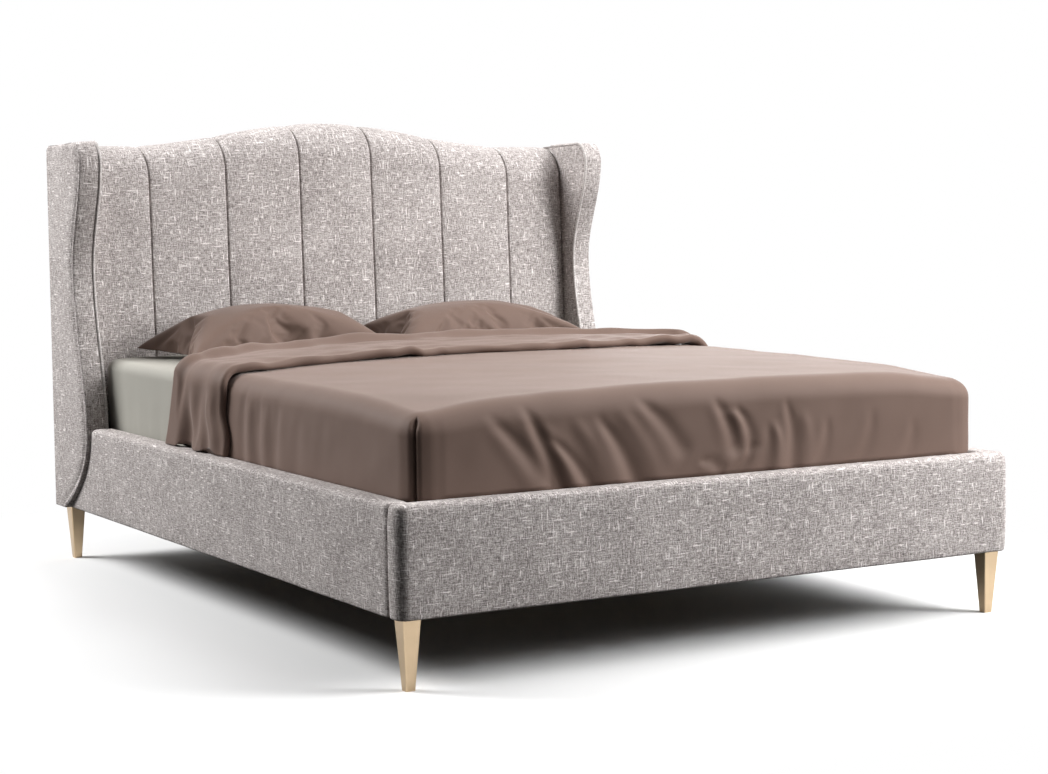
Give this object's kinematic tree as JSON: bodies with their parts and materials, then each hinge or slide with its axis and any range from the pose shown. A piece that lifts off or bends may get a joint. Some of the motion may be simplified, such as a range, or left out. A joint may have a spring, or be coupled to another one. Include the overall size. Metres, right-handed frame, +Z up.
{
  "type": "wingback bed",
  "caption": "Upholstered wingback bed with a channelled camel-back headboard, curved wings, padded rails, tapered metal legs, slatted base, mattress, duvet and pillows.",
  "frame": {"origin": "on the floor, under the middle of the bed's overall outline", "axes": "+X across the bed, to the right of someone who looks from the foot at the headboard; +Y along the bed from the foot to the headboard; +Z up"},
  "size_m": [1.776, 2.22, 1.302],
  "materials": {
    "upholstery": "heathered warm grey tweed weave with pale slubs",
    "lining": "thin charcoal non-woven cloth",
    "satin_metal": "satin champagne",
    "black_plastic": "matt black",
    "beech": "smooth pale beech veneer",
    "timber": "plain sawn softwood and board",
    "zinc_steel": "zinc plated",
    "black_steel": "matt black powder coat",
    "mattress_ticking": "plain off-white ticking",
    "sheet_cotton": "pale greige cotton",
    "satin_bedding": "taupe sateen with a soft sheen"
  },
  "bodies": {
    "bed_frame": {"beam_hanger_foot": "zinc_steel", "beam_hanger_head": "zinc_steel", "centre_beam": "timber", "corner_bolts": "zinc_steel", "corner_bracket_front_left": "zinc_steel", "corner_bracket_front_right": "zinc_steel", "corner_bracket_rear_left": "zinc_steel", "corner_bracket_rear_right": "zinc_steel", "footboard_board": "timber", "footboard_cover": "upholstery", "headboard_back_lining": "lining", "headboard_crossbar": "timber", "headboard_pad": "upholstery", "headboard_panel": "timber", "headboard_stud_left": "timber", "headboard_stud_right": "timber", "headboard_top_rib": "timber", "headboard_upright_left": "timber", "headboard_upright_right": "timber", "ledger_left": "timber", "ledger_right": "timber", "leg_front_left": "satin_metal", "leg_front_right": "satin_metal", "leg_rear_left": "satin_metal", "leg_rear_right": "satin_metal", "leg_studs": "zinc_steel", "side_rail_left_board": "timber", "side_rail_left_cover": "upholstery", "side_rail_right_board": "timber", "side_rail_right_cover": "upholstery", "slat_caps_beam_left": "black_plastic", "slat_caps_beam_right": "black_plastic", "slat_caps_left": "black_plastic", "slat_caps_right": "black_plastic", "slats_left": "beech", "slats_right": "beech", "support_leg_foot": "black_steel", "support_leg_head": "black_steel", "wing_bolts": "zinc_steel", "wing_left_core": "timber", "wing_left_cover": "upholstery", "wing_right_core": "timber", "wing_right_cover": "upholstery"},
    "mattress": {"mattress": "mattress_ticking", "fitted_sheet": "sheet_cotton"},
    "duvet": {"duvet": "satin_bedding"},
    "pillow_left": {"pillow_left": "satin_bedding"},
    "pillow_right": {"pillow_right": "satin_bedding"},
    "screw_foot_foot": {"screw_foot_foot": "black_steel"},
    "screw_foot_head": {"screw_foot_head": "black_steel"}
  },
  "joints": [
    {"name": "mattress_lift", "type": "slide", "parent": "bed_frame", "child": "mattress", "axis": [0, 0, 1], "range_m": [0, 0.3]},
    {"name": "duvet_lift", "type": "slide", "parent": "mattress", "child": "duvet", "axis": [0, 0, 1], "range_m": [0, 0.3]},
    {"name": "pillow_left_lift", "type": "slide", "parent": "mattress", "child": "pillow_left", "axis": [0, 0, 1], "range_m": [0, 0.3]},
    {"name": "pillow_right_lift", "type": "slide", "parent": "mattress", "child": "pillow_right", "axis": [0, 0, 1], "range_m": [0, 0.3]},
    {"name": "screw_foot_foot_adjust", "type": "slide", "parent": "bed_frame", "child": "screw_foot_foot", "axis": [0, 0, 1], "range_m": [-0.01, 0.006]},
    {"name": "screw_foot_head_adjust", "type": "slide", "parent": "bed_frame", "child": "screw_foot_head", "axis": [0, 0, 1], "range_m": [-0.01, 0.006]}
  ]
}
